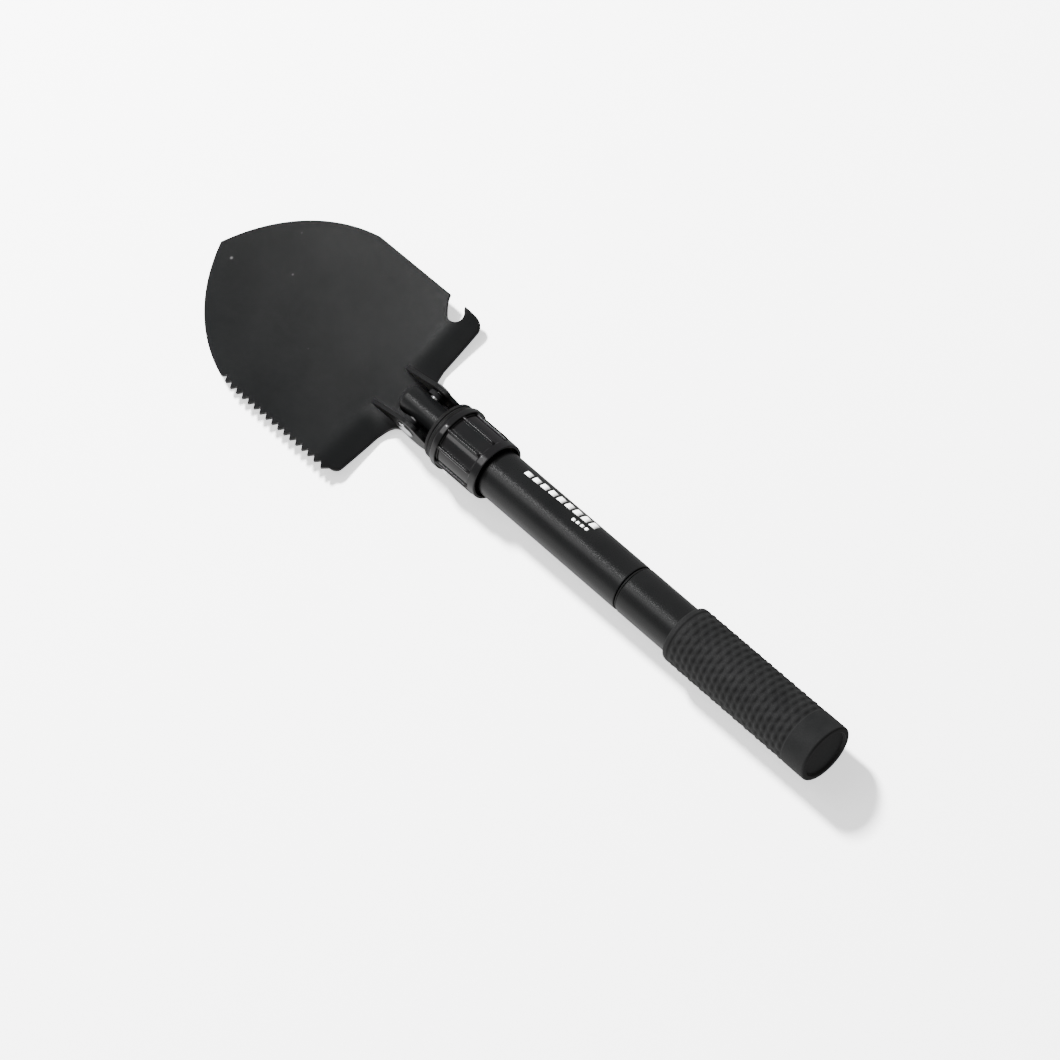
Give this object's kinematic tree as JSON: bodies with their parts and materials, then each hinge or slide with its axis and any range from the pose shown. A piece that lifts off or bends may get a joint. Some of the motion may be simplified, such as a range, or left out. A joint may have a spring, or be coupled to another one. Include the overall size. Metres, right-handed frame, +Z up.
{
  "type": "folding camp shovel",
  "caption": "Compact folding camp shovel: saw-edged steel blade with bottle opener, ribbed lock nut and a tube handle with a rubber grip.",
  "frame": {"origin": "middle of the footprint, on the plane that the rim of the lock nut stands on", "axes": "+X along the handle from the blade to the grip, +Y towards the bottle opener's side, +Z up, out of the blade's hollow side"},
  "size_m": [0.4152, 0.1018, 0.0324],
  "materials": {
    "blade_coat": "satin black powder coat",
    "tube_coat": "satin black coat",
    "bright_steel": "bright, lightly scratched",
    "dark_steel": "dark zinc",
    "brass": "turned",
    "nut_plastic": "gloss black",
    "washer_rubber": "dull black",
    "grip_rubber": "matt black, raised pips",
    "inner_plastic": "matt black"
  },
  "bodies": {
    "handle": {"hinge_stem": "tube_coat", "hinge_bush": "brass", "threaded_collar": "dark_steel", "stem_pin": "dark_steel", "front_tube": "tube_coat", "coupling_socket": "dark_steel"},
    "blade": {"blade_plate": "blade_coat", "ear_saw_side": "blade_coat", "ear_opener_side": "blade_coat", "hinge_rivet": "bright_steel", "hinge_spacer_saw_side": "inner_plastic", "hinge_spacer_opener_side": "inner_plastic"},
    "washer": {"thrust_washer": "washer_rubber"},
    "nut": {"lock_nut": "nut_plastic", "nut_insert": "brass"},
    "seal": {"joint_seal": "washer_rubber"},
    "rear_handle": {"rear_tube": "tube_coat", "coupling_stud": "dark_steel", "tube_end_plug": "inner_plastic", "rubber_grip": "grip_rubber"}
  },
  "joints": [
    {"name": "blade_fold", "type": "hinge", "parent": "handle", "child": "blade", "pos_m": [-0.0539, 0, 0.0162], "axis": [0, 1, 0], "range_deg": [0, 150]},
    {"name": "nut_travel", "type": "slide", "parent": "handle", "child": "washer", "axis": [1, 0, 0], "range_m": [0, 0.0055]},
    {"name": "nut_turn", "type": "hinge", "parent": "washer", "child": "nut", "pos_m": [-0.0329, 0, 0.0162], "axis": [1, 0, 0], "range_deg": [0, 792]},
    {"name": "rear_travel", "type": "slide", "parent": "handle", "child": "seal", "axis": [1, 0, 0], "range_m": [0, 0.01]},
    {"name": "rear_turn", "type": "hinge", "parent": "seal", "child": "rear_handle", "pos_m": [0.0861, 0, 0.0162], "axis": [1, 0, 0], "range_deg": [0, 1800]}
  ],
  "couplings": [
    {"joint": "nut_travel", "follows": "nut_turn", "m_per_rad": 0.00039789},
    {"joint": "rear_travel", "follows": "rear_turn", "m_per_rad": 0.00031831}
  ]
}
